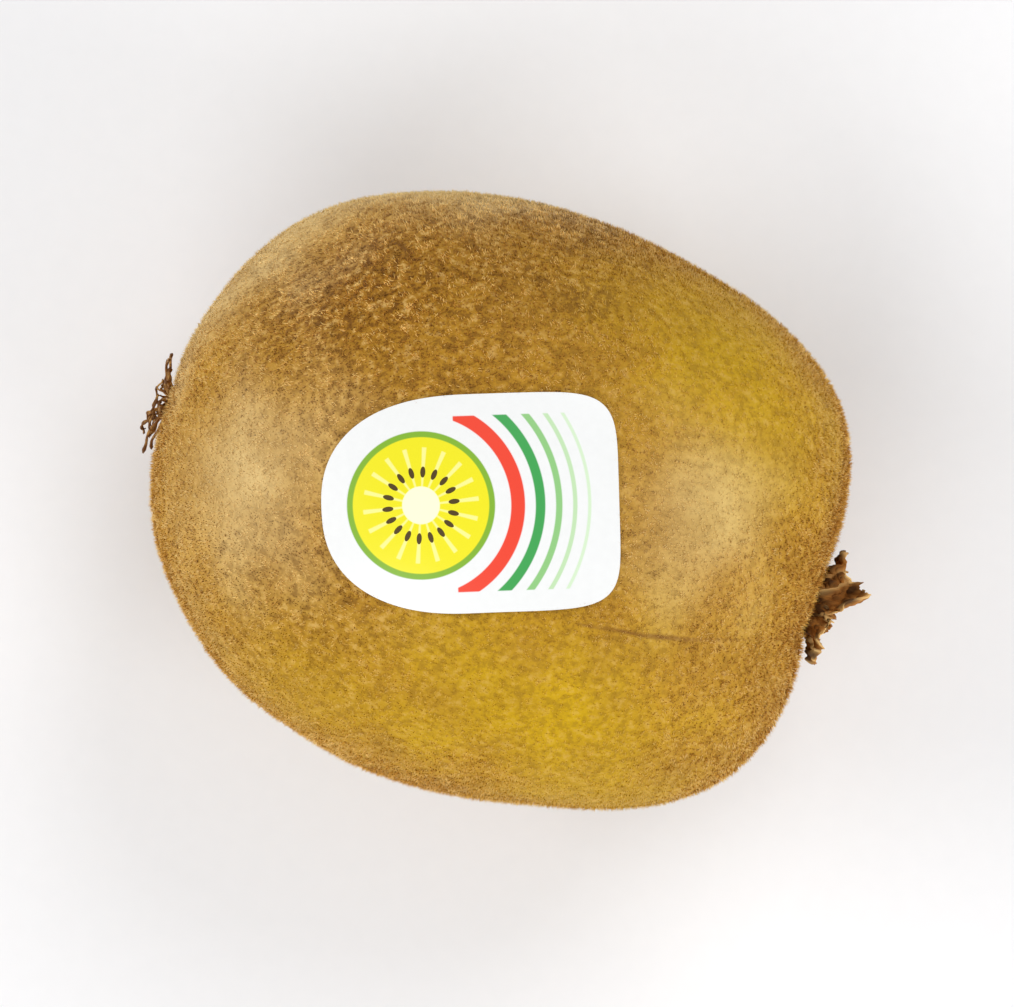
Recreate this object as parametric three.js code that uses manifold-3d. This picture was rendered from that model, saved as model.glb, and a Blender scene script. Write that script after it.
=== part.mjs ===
// A golden kiwifruit lying on its side: one berry, the dry sepals round its stem scar, the dried
// styles at its blossom end and a small paper label stuck on top. Units are millimetres, +Z is up
// and +X runs along the fruit from the blossom end to the stem end. The origin is on the surface
// that the fruit lies on, under the middle of its bounding box.
import * as THREE from "three";
import { mergeVertices } from "three/addons/utils/BufferGeometryUtils.js";
import Module from "manifold-3d";

const wasm = await Module();
wasm.setup();

// Berry: reaches are measured from the body's centre to the skin
const STEM_REACH = 33.3;
const BLOSSOM_REACH = 32.4;
const HALF_WIDTH = 28.5;
const HALF_HEIGHT = 26;
// Powers of the superellipse outline seen from above, on the +Y side and on the -Y side:
// 2 is an ellipse, and more is blunter
const BLOSSOM_POWER = { left: 2.4, right: 2.1 };
const STEM_POWER = { left: 3.4, right: 2.75 };
const STEM_POWER_STARTS = 0.37; // share of the way to the stem end
// Power of the upright sections, a little squarer than an ellipse
const SECTION_POWER = 2.3;
const BOW = 1.25; // the middle bulges this much further towards +Y than towards -Y
const BOW_MIDDLE = -3;
const FLAT_SPOT_DEPTH = 0.6; // how much the fruit is pressed flat where it rests

// The stem end is sunk round the calyx, and the blossom end puckers round the styles
const STEM_DIMPLE = { depth: 1.6, radius: 5.2, aside: 1 };
const BLOSSOM_PUCKER = { depth: 0.6, radius: 3.2, aside: 0.4 };
// The blossom end has a steep flat on its upper side, as fruit that grew in a bunch has
const PRESSED_FACE = { towards: [-0.72, 0.5, 0.48], reach: 30.3, edge: 0.7 };
// Shallow valleys that run back from the stem end between the lobes of the berry. Angles are
// turned from straight up towards +Y, in degrees
const VALLEYS = [
  { angle: -17, depth: 0.5, width: 11 },
  { angle: 62, depth: 0.35, width: 20 },
  { angle: 178, depth: 0.3, width: 24 },
  { angle: -112, depth: 0.35, width: 20 },
];
const VALLEY_START = 7; // distance from the axis where a valley has its full depth
const UNEVENNESS = 0.22; // height of the slow waves in the skin

// Mesh of the berry
const ROUND_STEPS = 72;
const LENGTH_STEPS = 54;
const END_CROWDING = 0.55; // 0 spaces the rings evenly, and 1 crowds them into the two ends

const AIR = 0.3; // gap between the berry and what sits on it

// Calyx: a woody stem scar with five dry sepals round it. A profile is a list of distances from
// the middle with the heights above the skin, from the underside out and back over the top
const SCAR_PROFILE = [
  [0, 0], [1.4, 0], [2.8, 0], [2.8, 0.5], [2.5, 1.2], [2.1, 1.5], [1.7, 1.4], [1.3, 0.95],
  [0.7, 0.75], [0, 0.75],
];
const PROFILE_STEPS = 22;
const SEPAL = { root: 1.5, width: 4.8, thick: 0.66, lift: 0.3, crumple: 0.3 };
// Where each sepal grows, how long it is, and how steeply it stands at its root and at its tip
const SEPALS = [
  { turn: 28, length: 5.4, root: 25, tip: 64 },
  { turn: 97, length: 5.0, root: 6, tip: 34 },
  { turn: 170, length: 4.8, root: 12, tip: 52 },
  { turn: 244, length: 4.9, root: 4, tip: 40 },
  { turn: 318, length: 4.6, root: 14, tip: 22 },
];

// Dried styles: a small corky button with a tuft of threads
const BUTTON_PROFILE = [[0, 0], [0.9, 0], [1.7, 0], [1.7, 0.4], [1.3, 0.7], [0.7, 0.75], [0, 0.75]];
const STYLES = 17;
const STYLE = { radius: 0.31, sides: 5, steps: 6, shortest: 2.4, longest: 5.2, lift: 0.66, rise: 1.15 };

// Label: round at one end and square at the other, it follows the skin and lies askew on top
const LABEL = { length: 27.8, width: 20.4, thick: 0.6 };
const LABEL_CENTRE = [-1.6, 0.2];
const LABEL_TURN = THREE.MathUtils.degToRad(19.5);
const LABEL_POWER = { round: 2.4, square: 6 }; // 2 is an oval, and more has tighter corners

const SEED = 20;

const degrees = THREE.MathUtils.degToRad;
const ease = (x) => THREE.MathUtils.smoothstep(x, 0, 1);
const bell = (x) => Math.exp(-x * x);

// Repeatable numbers from 0 to 1
function draws(seed) {
  let state = seed;
  return () => {
    state = (state * 1664525 + 1013904223) % 4294967296;
    return state / 4294967296;
  };
}

// Angle between two turns round the axis, from -180 to 180 degrees
function turnBetween(a, b) {
  return ((((a - b) % 360) + 540) % 360) - 180;
}

// Distance from the centre of the plain superellipse body to its skin along direction d
function plainReach(d) {
  const along = Math.abs(d.x) / (d.x > 0 ? STEM_REACH : BLOSSOM_REACH);
  const across = Math.abs(d.y) / HALF_WIDTH;
  const up = Math.abs(d.z) / HALF_HEIGHT;
  const towardsStem = ease((d.x - STEM_POWER_STARTS) / (1 - STEM_POWER_STARTS));
  const hand = d.y > 0 ? "left" : "right";
  const power = THREE.MathUtils.lerp(BLOSSOM_POWER[hand], STEM_POWER[hand], towardsStem);
  const outline = (along ** power + across ** power) ** (SECTION_POWER / power);
  return (outline + up ** SECTION_POWER) ** (-1 / SECTION_POWER);
}

const pressedTowards = new THREE.Vector3(...PRESSED_FACE.towards).normalize();

// The lesser of the body's reach and the pressed face's, with a soft edge between them
function pressed(reach, d) {
  const facing = d.dot(pressedTowards);
  if (facing < 0.3) return reach;
  const face = PRESSED_FACE.reach / facing;
  const soft = PRESSED_FACE.edge;
  return reach - soft * Math.log(1 + Math.exp((reach - face) / soft));
}

// What the dimples, the valleys and the slow waves add to the reach at point p
function relief(p) {
  const fromAxis = Math.hypot(p.y, p.z);
  const end = p.x > 0 ? STEM_DIMPLE : BLOSSOM_PUCKER;
  let sum = -end.depth * bell(Math.hypot(p.y - end.aside, p.z) / end.radius);
  const turn = THREE.MathUtils.radToDeg(Math.atan2(p.y, p.z));
  const open = ease(fromAxis / VALLEY_START) * ease((p.x + 12) / 30);
  for (const valley of VALLEYS) {
    sum -= valley.depth * open * bell(turnBetween(turn, valley.angle) / valley.width);
  }
  const waves =
    Math.sin(0.17 * p.x + 0.11 * p.y + 0.6) * Math.cos(0.13 * p.z - 0.16 * p.y) +
    0.6 * Math.sin(0.31 * p.x - 0.22 * p.y + 2.1) * Math.sin(0.27 * p.z + 0.7);
  return sum + UNEVENNESS * waves * ease(fromAxis / VALLEY_START);
}

// The point of the skin in direction d from the body's centre, before it is set down
function skinPoint(d) {
  const reach = pressed(plainReach(d), d);
  const p = d.clone().multiplyScalar(reach);
  p.addScaledVector(d, relief(p));
  p.y += BOW * (1 - ((p.x - BOW_MIDDLE) / STEM_REACH) ** 2);
  return p;
}

// Direction at polar angle from +X (in radians) and turn from straight up towards +Y
function direction(polar, turn) {
  return new THREE.Vector3(
    Math.cos(polar),
    Math.sin(polar) * Math.sin(turn),
    Math.sin(polar) * Math.cos(turn),
  );
}

// The direction d leant by small angles a and b along two sides at right angles to it
function leant(d, side, other, a, b) {
  return d.clone().addScaledVector(side, a).addScaledVector(other, b).normalize();
}

// A point lifted off the skin along its outward normal
function above(d, lift) {
  const nudge = 0.01;
  const side = new THREE.Vector3(0, 0, 1);
  if (Math.abs(d.z) > 0.9) side.set(0, 1, 0);
  side.addScaledVector(d, -side.dot(d)).normalize();
  const other = new THREE.Vector3().crossVectors(d, side);
  const here = skinPoint(d);
  const one = skinPoint(leant(d, side, other, nudge, 0)).sub(here);
  const two = skinPoint(leant(d, side, other, 0, nudge)).sub(here);
  return here.addScaledVector(one.cross(two).normalize(), lift);
}

// Buffer geometry from a list of Vector3 and a list of triangles
function meshOf(points, triangles) {
  const geometry = new THREE.BufferGeometry().setFromPoints(points);
  geometry.setIndex(triangles.flat());
  return geometry;
}

// A closed skin over rings of points, the first and the last of which are single points.
// The first ring is at the +X end unless the rings are flipped
function overRings(rings, flipped) {
  const starts = [0];
  for (const ring of rings) starts.push(starts.at(-1) + ring.length);
  const at = (i, j) => starts[i] + (j % rings[i].length);
  const triangles = [];
  const face = (a, b, c) => triangles.push(flipped ? [a, c, b] : [a, b, c]);
  const last = rings.length - 1;
  for (let j = 0; j < rings[1].length; j++) {
    face(0, at(1, j + 1), at(1, j));
    face(starts[last], at(last - 1, j), at(last - 1, j + 1));
    for (let i = 1; i < last - 1; i++) {
      face(at(i, j), at(i, j + 1), at(i + 1, j + 1));
      face(at(i, j), at(i + 1, j + 1), at(i + 1, j));
    }
  }
  return meshOf(rings.flat(), triangles);
}

// A closed slab between an under and an upper sheet, each columns by rows cells.
// place(u, v, upper) gives a point of one sheet, with u and v from 0 to 1
function slab(columns, rows, place) {
  const points = [];
  for (const upper of [false, true]) {
    for (let j = 0; j <= rows; j++) {
      for (let i = 0; i <= columns; i++) points.push(place(i / columns, j / rows, upper));
    }
  }
  const at = (i, j, upper) => (upper ? (columns + 1) * (rows + 1) : 0) + j * (columns + 1) + i;
  const triangles = [];
  const quad = (a, b, c, d) => triangles.push([a, b, c], [a, c, d]);
  for (let j = 0; j < rows; j++) {
    for (let i = 0; i < columns; i++) {
      quad(at(i, j, true), at(i + 1, j, true), at(i + 1, j + 1, true), at(i, j + 1, true));
      quad(at(i, j, false), at(i, j + 1, false), at(i + 1, j + 1, false), at(i + 1, j, false));
    }
  }
  for (let i = 0; i < columns; i++) {
    quad(at(i, 0, false), at(i + 1, 0, false), at(i + 1, 0, true), at(i, 0, true));
    quad(at(i + 1, rows, false), at(i, rows, false), at(i, rows, true), at(i + 1, rows, true));
  }
  for (let j = 0; j < rows; j++) {
    quad(at(0, j + 1, false), at(0, j, false), at(0, j, true), at(0, j + 1, true));
    quad(at(columns, j, false), at(columns, j + 1, false), at(columns, j + 1, true), at(columns, j, true));
  }
  return meshOf(points, triangles);
}

// Geometry to solid, for joining
function solid(geometry) {
  const bare = new THREE.BufferGeometry();
  bare.setAttribute("position", geometry.getAttribute("position"));
  bare.setIndex(geometry.index);
  const merged = mergeVertices(bare, 1e-4);
  return new wasm.Manifold(
    new wasm.Mesh({
      numProp: 3,
      vertProperties: new Float32Array(merged.attributes.position.array),
      triVerts: new Uint32Array(merged.index.array),
    }),
  );
}

// Joined solids back to one geometry, without the specks that thin folds leave
function joined(solids) {
  const bodies = solids.reduce((all, next) => all.add(next)).decompose();
  const mesh = bodies.sort((a, b) => b.volume() - a.volume())[0].getMesh();
  const geometry = new THREE.BufferGeometry();
  geometry.setAttribute("position", new THREE.BufferAttribute(mesh.vertProperties, 3));
  return geometry.setIndex(new THREE.BufferAttribute(mesh.triVerts, 1));
}

// Turns that share a circle evenly
function evenTurns(count) {
  return Array.from({ length: count }, (_, k) => (2 * Math.PI * k) / count);
}

// The berry, as rings from the stem end to the blossom end
function berry() {
  const rings = [[skinPoint(direction(0, 0))]];
  for (let i = 1; i < LENGTH_STEPS; i++) {
    const share = i / LENGTH_STEPS;
    const crowded = share - (END_CROWDING * Math.sin(2 * Math.PI * share)) / (2 * Math.PI);
    rings.push(evenTurns(ROUND_STEPS).map((turn) => skinPoint(direction(Math.PI * crowded, turn))));
  }
  rings.push([skinPoint(direction(Math.PI, 0))]);
  const floor = Math.min(...rings.flat().map((p) => p.z)) + FLAT_SPOT_DEPTH;
  for (const p of rings.flat()) p.z = Math.max(p.z, floor);
  return { geometry: overRings(rings, false), floor };
}

// Direction to the skin near one end, a distance and a turn away from the middle of its dimple
function nearEnd(sign, distance, turn) {
  const reach = sign > 0 ? STEM_REACH : BLOSSOM_REACH;
  const aside = (sign > 0 ? STEM_DIMPLE : BLOSSOM_PUCKER).aside;
  const y = aside + distance * Math.sin(turn);
  const z = distance * Math.cos(turn);
  return new THREE.Vector3(sign * Math.sqrt(reach * reach - y * y - z * z), y, z).normalize();
}

// A round body that stands on the skin at one end, with the air under it
function turned(sign, profile) {
  const rings = profile.map(([distance, height]) => {
    const turns = evenTurns(distance ? PROFILE_STEPS : 1);
    return turns.map((turn) => above(nearEnd(sign, distance, turn), AIR + height));
  });
  return overRings(rings, sign > 0);
}

// One dry sepal: broad, cupped and crumpled, rooted in the stem scar and curling up to its tip
function sepal({ turn, length, root, tip }, draw) {
  const cup = 0.25 + 0.3 * draw();
  const twist = 0.5 * (draw() - 0.5);
  const phase = 6 * draw();
  const middle = (u, v) => {
    const side = 2 * u - 1;
    const slope = degrees(THREE.MathUtils.lerp(root, tip, v));
    const start = degrees(root);
    const curve = length / (degrees(tip) - start);
    const out = curve * (Math.sin(slope) - Math.sin(start));
    const up = curve * (Math.cos(start) - Math.cos(slope));
    const breadth = 0.68 + 0.6 * v - 0.78 * v ** 4;
    const half = (SEPAL.width / 2) * breadth;
    const ragged = 1 + 0.07 * Math.sin(11 * v + phase + 2 * side);
    const distance = SEPAL.root + out - 0.5 * side * side * v;
    const spread = degrees(turn) + (side * half * ragged) / (distance + 1.1);
    const crumple = SEPAL.crumple * v * breadth ** 2 * Math.sin(7 * u + 5 * v + phase);
    const height = SEPAL.lift + up + (cup * side * side + twist * side) * breadth * v + crumple;
    const least = AIR + SEPAL.thick / 2 + 0.1;
    return above(nearEnd(1, distance, spread), Math.max(least, AIR + SEPAL.thick / 2 + height));
  };
  return slab(6, 8, (u, v, upper) => {
    const step = 0.02;
    const here = middle(u, v);
    const across = middle(u + step, v).sub(middle(u - step, v));
    const along = middle(u, Math.min(1, v + step)).sub(middle(u, Math.max(0, v - step)));
    const normal = across.cross(along).normalize();
    return here.addScaledVector(normal, ((upper ? 1 : -1) * SEPAL.thick) / 2);
  });
}

// The calyx: a rimmed scar where the stem broke off, with the sepals fused round it
function calyx() {
  const draw = draws(SEED);
  const solids = [solid(turned(1, SCAR_PROFILE))];
  for (const each of SEPALS) solids.push(solid(sepal(each, draw)));
  return joined(solids);
}

// One dried style: a thread that leaves the button and bends along the skin
function style(turn, draw) {
  const length = THREE.MathUtils.lerp(STYLE.shortest, STYLE.longest, draw());
  const rise = STYLE.rise * draw();
  const sweep = (draw() - 0.5) * 1.6;
  const path = [0, 0.35, 0.7, 1].map((share) => {
    const d = nearEnd(-1, 0.5 + length * share, turn + sweep * share * share);
    return above(d, STYLE.lift + rise * Math.sin(2.2 * share));
  });
  const corner = (turn) => new THREE.Vector2(Math.cos(turn), Math.sin(turn)).multiplyScalar(STYLE.radius);
  const section = new THREE.Shape(evenTurns(STYLE.sides).map(corner));
  const extrudePath = new THREE.CatmullRomCurve3(path);
  return new THREE.ExtrudeGeometry(section, { steps: STYLE.steps, extrudePath });
}

// The tuft of dried styles with the corky button that they stand on
function styles() {
  const draw = draws(SEED + 1);
  const solids = [solid(turned(-1, BUTTON_PROFILE))];
  const spacing = (2 * Math.PI) / STYLES;
  for (const turn of evenTurns(STYLES)) {
    solids.push(solid(style(turn + 0.7 * spacing * draw(), draw)));
  }
  return joined(solids);
}

// The direction whose skin point on the upper side stands over x, y
function over(x, y) {
  const aim = new THREE.Vector3(x, y, HALF_HEIGHT);
  for (let pass = 0; pass < 6; pass++) {
    const p = skinPoint(aim.clone().normalize());
    aim.set(aim.x + x - p.x, aim.y + y - p.y, p.z);
  }
  return aim.normalize();
}

// The label, laid on the skin along straight lines seen from above
function label() {
  const cos = Math.cos(LABEL_TURN);
  const sin = Math.sin(LABEL_TURN);
  return slab(20, 14, (u, v, upper) => {
    const a = 2 * u - 1;
    const b = 2 * v - 1;
    const widest = Math.max(Math.abs(a), Math.abs(b), 1e-9);
    const power = a < 0 ? LABEL_POWER.round : LABEL_POWER.square;
    const round = (Math.abs(a) ** power + Math.abs(b) ** power) ** (1 / power);
    const inwards = widest / Math.max(round, 1e-9);
    const along = (a * inwards * LABEL.length) / 2;
    const across = (b * inwards * LABEL.width) / 2;
    const x = LABEL_CENTRE[0] + along * cos - across * sin;
    const y = LABEL_CENTRE[1] + along * sin + across * cos;
    return above(over(x, y), AIR + (upper ? LABEL.thick : 0));
  });
}

function piece(name, geometry, colour, roughness) {
  geometry.computeVertexNormals();
  const material = new THREE.MeshStandardMaterial({ color: colour, roughness, metalness: 0 });
  const mesh = new THREE.Mesh(geometry, material);
  mesh.name = name;
  return mesh;
}

const { geometry: fruit, floor } = berry();
const kiwifruit = new THREE.Group();
kiwifruit.add(
  piece("fruit", fruit, 0x9c7a35, 0.8),
  piece("dry_calyx", calyx(), 0x5b3d20, 0.95),
  piece("dried_styles", styles(), 0x35220f, 0.95),
  piece("label", label(), 0xf4f3ee, 0.4),
);

// Set down on the surface, with the origin under the middle of the bounding box
const box = new THREE.Box3().setFromObject(kiwifruit);
const middle = box.getCenter(new THREE.Vector3());
kiwifruit.position.set(-middle.x, -middle.y, -floor);

export default kiwifruit;
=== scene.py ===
# A golden kiwifruit lying on its side: the berry with its downy skin, the dry calyx at the stem end,
# the dried styles at the blossom end and a small printed paper label stuck on top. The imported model
# says where each piece is. Sizes are in millimetres, and a mesh is turned to metres as it is made.
import math
import bpy
import numpy as np
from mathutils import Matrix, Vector, kdtree, noise


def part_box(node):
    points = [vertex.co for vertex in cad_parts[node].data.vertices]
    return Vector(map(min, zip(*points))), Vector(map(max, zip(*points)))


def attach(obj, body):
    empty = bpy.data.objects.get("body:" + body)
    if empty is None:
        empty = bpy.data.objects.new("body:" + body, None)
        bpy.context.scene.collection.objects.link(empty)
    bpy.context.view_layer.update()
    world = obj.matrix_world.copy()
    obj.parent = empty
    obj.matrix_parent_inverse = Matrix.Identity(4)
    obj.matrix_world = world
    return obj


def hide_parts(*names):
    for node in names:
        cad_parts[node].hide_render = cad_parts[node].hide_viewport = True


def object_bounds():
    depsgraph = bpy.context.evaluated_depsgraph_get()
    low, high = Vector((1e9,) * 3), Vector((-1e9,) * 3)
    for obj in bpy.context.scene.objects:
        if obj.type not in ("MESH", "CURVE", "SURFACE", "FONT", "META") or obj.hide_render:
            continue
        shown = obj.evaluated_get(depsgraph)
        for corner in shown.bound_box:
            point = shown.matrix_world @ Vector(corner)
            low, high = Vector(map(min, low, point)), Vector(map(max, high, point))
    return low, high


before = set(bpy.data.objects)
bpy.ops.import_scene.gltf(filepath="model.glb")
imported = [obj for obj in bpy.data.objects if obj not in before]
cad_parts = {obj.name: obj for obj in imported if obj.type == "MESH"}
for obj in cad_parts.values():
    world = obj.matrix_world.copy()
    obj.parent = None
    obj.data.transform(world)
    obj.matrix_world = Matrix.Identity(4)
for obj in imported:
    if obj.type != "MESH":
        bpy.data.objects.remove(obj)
cad_low, cad_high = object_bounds()

# The berry. One firm, water-filled berry, blunt at the stem end and rounder at the blossom end, which
# grew a little pressed on one side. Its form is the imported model's own, drawn finer, with the low
# bumps and dents that the skin has when it is looked at closely.
MM = 0.001
STEM_REACH = 33.3
BLOSSOM_REACH = 32.4
HALF_WIDTH = 28.5
HALF_HEIGHT = 26
BLOSSOM_BLUNT = (2.4, 2.1)  # power of the outline on the +Y side and on the -Y side
STEM_BLUNT = (3.4, 2.75)
STEM_STARTS = 0.37  # share of the way to the stem end where its blunter form sets in
SECTION_POWER = 2.3
BOW = 1.25  # how far the middle is bowed towards +Y, and where along the berry that is
BOW_MIDDLE = -3
FLAT_SPOT_EDGE = 0.12
STEM_DIMPLE = (1.6, 5.2, 1.0)  # depth, radius and how far aside its middle is
BLOSSOM_PUCKER = (0.6, 3.2, 0.4)
PRESSED_TOWARDS = np.array([-0.72, 0.5, 0.48])
PRESSED_TOWARDS /= np.linalg.norm(PRESSED_TOWARDS)
PRESSED_REACH = 30.3
PRESSED_EDGE = 0.7
PRESSED_FACING = 0.3  # skin that faces that way less than this isn't pressed
VALLEYS = [(-17, 0.5, 11), (62, 0.35, 20), (178, 0.3, 24), (-112, 0.35, 20)]  # turn, depth, width
VALLEY_START = 7  # they fade within this far of the berry's axis
VALLEY_FROM = -12  # and deepen from here towards the stem end, over the next 30 mm
VALLEY_DEEPENS = 30
UNEVENNESS = 0.22
SKIN_CELLS = 124  # squares along each side of the cube that the skin's mesh starts from
BUMPS = [(2.6, 0.05), (1.1, 0.035)]  # spacing and height of the fine bumps


def smooth(x):
    """A soft step from 0 to 1."""
    x = np.clip(x, 0, 1)
    return x * x * (3 - 2 * x)


def bell(x):
    """1 in the middle, fading to 0."""
    return np.exp(-x * x)


def lerp(a, b, share):
    return a + (b - a) * share


def plain_reach(aim):
    """How far the skin of the plain body is from its middle, in the directions aim."""
    x, y, z = np.moveaxis(aim, -1, 0)
    along = np.abs(x) / np.where(x > 0, STEM_REACH, BLOSSOM_REACH)
    across = np.abs(y) / HALF_WIDTH
    up = np.abs(z) / HALF_HEIGHT
    towards_stem = smooth((x - STEM_STARTS) / (1 - STEM_STARTS))
    power = lerp(np.where(y > 0, *BLOSSOM_BLUNT), np.where(y > 0, *STEM_BLUNT), towards_stem)
    outline = (along**power + across**power) ** (SECTION_POWER / power)
    return (outline + up**SECTION_POWER) ** (-1 / SECTION_POWER)


def relief(p):
    """What the dimples, the valleys between the lobes and the slow waves add to the reach at p."""
    x, y, z = np.moveaxis(p, -1, 0)
    from_axis = np.hypot(y, z)
    sinks = [
        depth * bell(np.hypot(y - aside, z) / radius)
        for depth, radius, aside in (STEM_DIMPLE, BLOSSOM_PUCKER)
    ]
    total = -np.where(x > 0, *sinks)
    turn = np.degrees(np.arctan2(y, z))
    opened = smooth(from_axis / VALLEY_START) * smooth((x - VALLEY_FROM) / VALLEY_DEEPENS)
    for angle, depth, width in VALLEYS:
        apart = (turn - angle + 540) % 360 - 180
        total = total - depth * opened * bell(apart / width)
    waves = np.sin(0.17 * x + 0.11 * y + 0.6) * np.cos(0.13 * z - 0.16 * y)
    waves = waves + 0.6 * np.sin(0.31 * x - 0.22 * y + 2.1) * np.sin(0.27 * z + 0.7)
    return total + UNEVENNESS * waves * smooth(from_axis / VALLEY_START)


def skin_at(aim):
    """The skin's points in the directions aim from the middle of the berry."""
    reach = plain_reach(aim)
    facing = aim @ PRESSED_TOWARDS
    too_far = (reach - PRESSED_REACH / np.maximum(facing, PRESSED_FACING)) / PRESSED_EDGE
    pressed_in = PRESSED_EDGE * np.log1p(np.exp(too_far))
    reach = reach - np.where(facing < PRESSED_FACING, 0, pressed_in)
    p = aim * reach[..., None]
    p = p + aim * relief(p)[..., None]
    p[..., 1] += BOW * (1 - ((p[..., 0] - BOW_MIDDLE) / STEM_REACH) ** 2)
    return p


def unit(v):
    """The same directions, one long."""
    return v / np.linalg.norm(v, axis=-1, keepdims=True)


def cube_ball(cells):
    """Directions spread evenly over a ball, from a cube blown up round, and the squares over them."""
    side = np.tan(np.linspace(-1, 1, cells + 1) * math.pi / 4)
    a, b = np.meshgrid(side, side, indexing="ij")
    corner = np.arange((cells + 1) ** 2).reshape(cells + 1, cells + 1)
    ring = [corner[:-1, :-1], corner[1:, :-1], corner[1:, 1:], corner[:-1, 1:]]
    square = np.stack([c.ravel() for c in ring], -1)
    points, squares = [], []
    for axis in range(3):
        for sign in (-1, 1):
            sheet = np.stack([np.full_like(a, sign), a, b * sign], -1)
            squares.append(square + len(points) * corner.size)
            points.append(np.roll(sheet, axis, -1).reshape(-1, 3))
    joined, where = np.unique(np.round(np.concatenate(points), 7) + 0.0, axis=0, return_inverse=True)
    return unit(joined), where.ravel()[np.concatenate(squares)]


def new_piece(name, points, faces, material):
    """A smooth mesh object from points in millimetres, riding on the fruit's one body."""
    mesh = bpy.data.meshes.new(name)
    mesh.from_pydata(points * MM, [], faces)
    mesh.shade_smooth()
    mesh.materials.append(material)
    made = bpy.data.objects.new(name, mesh)
    bpy.context.collection.objects.link(made)
    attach(made, "root")
    return made


def mark(piece, name, values):
    """Keeps a number for each point of a piece's mesh, for its material to read."""
    piece.data.attributes.new(name, "FLOAT", "POINT").data.foreach_set("value", values)


def ripple(points, spacing):
    """Cloud-like noise from -1 to 1 at each point, with that spacing in millimetres."""
    return np.array([noise.noise(Vector(p)) for p in points / spacing])


aims, squares = cube_ball(SKIN_CELLS)
plain_skin = skin_at(aims)
box_low, box_high = (np.array(corner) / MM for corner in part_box("fruit"))
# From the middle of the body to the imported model's own place: its upper side, its stem end and its
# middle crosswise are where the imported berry's are
settle = np.array([
    box_high[0] - plain_skin[:, 0].max(),
    (box_low[1] + box_high[1] - plain_skin[:, 1].min() - plain_skin[:, 1].max()) / 2,
    box_high[2] - plain_skin[:, 2].max(),
])
skin_points = plain_skin + settle
for spacing, height in BUMPS:
    skin_points += aims * (height * ripple(plain_skin, spacing))[:, None]
above_floor = skin_points[:, 2] / FLAT_SPOT_EDGE
skin_points[:, 2] = FLAT_SPOT_EDGE * np.logaddexp(0, above_floor)

# The fruit's colour comes from two things: a thin yellow-green skin, and the bronze down on it. Where
# the down is thin or rubbed the skin shows through. Painted light lies over them too: the bronze patches
# are partly painted shade on the upper side, and the pale patches are painted highlights, soft glows of
# sheen and a light band along the outline. Each patch is the direction that it lies in from the middle
# of the berry, its radius and its strength.
WORN = [
    ((15, 19, 15), 10.5, 0.9),
    ((21, 12, 16), 7.5, 0.8),
    ((4, -16, 20), 8.5, 0.85),
    ((13, -16, 19), 9, 1.0),
    ((16, -22, 9), 8, 0.7),
    ((-9, -20, 15), 9, 0.65),
    ((6, 14, -20), 10, 0.8),
    ((-14, -14, -17), 9, 0.7),
    ((16, -20, -8), 8, 0.6),
    ((-12, 24, -6), 9, 0.5),
]
# Partly the down's own darker bronze and partly painted shade, darkest on the upper side towards +Y and the
# blossom end
BRONZE_AND_SHADE = [
    ((-17, 15, 17), 12, 0.9),
    ((-1, 26, 8), 8.5, 0.7),
    ((-3, 14, 22), 8, 0.15),
    ((8, -3, 26), 6, 0.5),
    ((-13, -11, 20), 8, 0.5),
    ((26, 13, 5), 7, 0.2),
    ((-10, -22, -14), 9, 0.5),
    ((12, -10, -22), 11, 0.6),
    ((-22, 8, -14), 10, 0.7),
]
# Painted highlights: soft glows of sheen on the upper side, and a light band along the outline towards +Y
PAINTED_HIGHLIGHT = [
    ((17.5, 5, 20), 7, 0.66),
    ((-21, -4, 18), 9, 0.8),
    ((-4, 28, 3), 7, 0.5),
    ((-13, 24, 3), 7.5, 0.75),
    ((-21, 18, 3), 7.5, 0.8),
    ((-28, 9, 3), 7.5, 0.7),
    ((4, 20, -16), 7, 0.4),
    ((-6, -22, -14), 7, 0.5),
]
PATCH_RAGGED = 0.5  # how uneven the edge of a patch is, and how far apart its bays are
PATCH_BAY = 6.5
# A thin brown seam that runs back from the calyx, as x and y seen from above. It is darkest at its
# middle and fades towards both ends.
SEAM_X = [11, 15, 18.1, 21.8, 25.3, 28.2, 32.2]
SEAM_Y = [-7.6, -7.0, -6.6, -5.8, -4.8, -3.8, -1.8]
SEAM_MIDDLE = 19
SEAM_FADE = 0.022
OFF_SEAM = 5
RUSTY_STEM = (9, 1.0)  # radius and strength of the rusty tint round the calyx and round the styles
RUSTY_BLOSSOM = (6, 0.8)


def patches(p, spots):
    """How much of the patches there is at the points p, from 0 to 1. Their edges are uneven."""
    uneven = 1 + PATCH_RAGGED * ripple(p, PATCH_BAY)
    bare = np.ones(len(p))
    for towards, radius, strength in spots:
        middle = skin_at(unit(np.array(towards, float))[None])[0]
        apart = np.linalg.norm(p - middle, axis=1) * uneven
        bare *= 1 - strength * bell(apart / radius)
    return 1 - bare


def end_tint(p):
    """Strength of the rusty tint at the points p."""
    tints = [
        strength * bell(np.hypot(p[:, 1] - middle[2], p[:, 2]) / radius)
        for middle, (radius, strength) in ((STEM_DIMPLE, RUSTY_STEM), (BLOSSOM_PUCKER, RUSTY_BLOSSOM))
    ]
    return np.where(p[:, 0] > 0, *tints)


def linear(hex_colour):
    """An sRGB hex colour as linear red, green, blue and alpha."""
    srgb = [int(hex_colour[i : i + 2], 16) / 255 for i in (1, 3, 5)]
    return [c / 12.92 if c <= 0.04045 else ((c + 0.055) / 1.055) ** 2.4 for c in srgb] + [1.0]


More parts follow.
